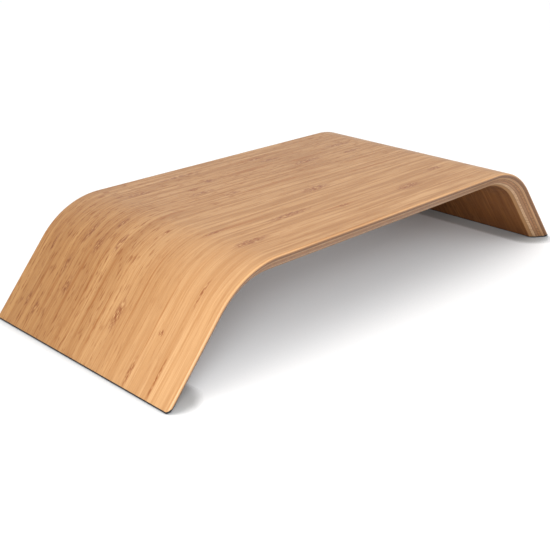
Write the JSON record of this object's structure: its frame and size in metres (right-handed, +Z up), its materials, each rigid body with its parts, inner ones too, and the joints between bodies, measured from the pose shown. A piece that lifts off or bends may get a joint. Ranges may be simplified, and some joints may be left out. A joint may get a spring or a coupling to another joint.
{
  "type": "monitor riser stand",
  "caption": "Low desk riser of bent laminated bamboo: flat deck, rounded bends and flared legs on rubber foot strips, open underneath for a keyboard.",
  "frame": {"origin": "on the floor, under the middle of the deck", "axes": "+X along the length towards the right leg, +Y to the back, +Z up"},
  "size_m": [0.533, 0.237, 0.093],
  "materials": {
    "bamboo_face": "satin clear lacquer over caramel bamboo strips, grain along the length and over the bends",
    "bamboo_cross": "cut edge of bamboo plies laid front to back, satin lacquer",
    "bamboo_long": "cut edge of bamboo plies laid along the length, satin lacquer",
    "foot_rubber": "matt, fine-grained non-slip rubber"
  },
  "bodies": {
    "root": {"top_face_ply": "bamboo_face", "upper_cross_ply": "bamboo_cross", "upper_long_ply": "bamboo_long", "core_cross_ply": "bamboo_cross", "lower_long_ply": "bamboo_long", "lower_cross_ply": "bamboo_cross", "bottom_face_ply": "bamboo_face", "left_foot_strip": "foot_rubber", "right_foot_strip": "foot_rubber"}
  },
  "joints": []
}
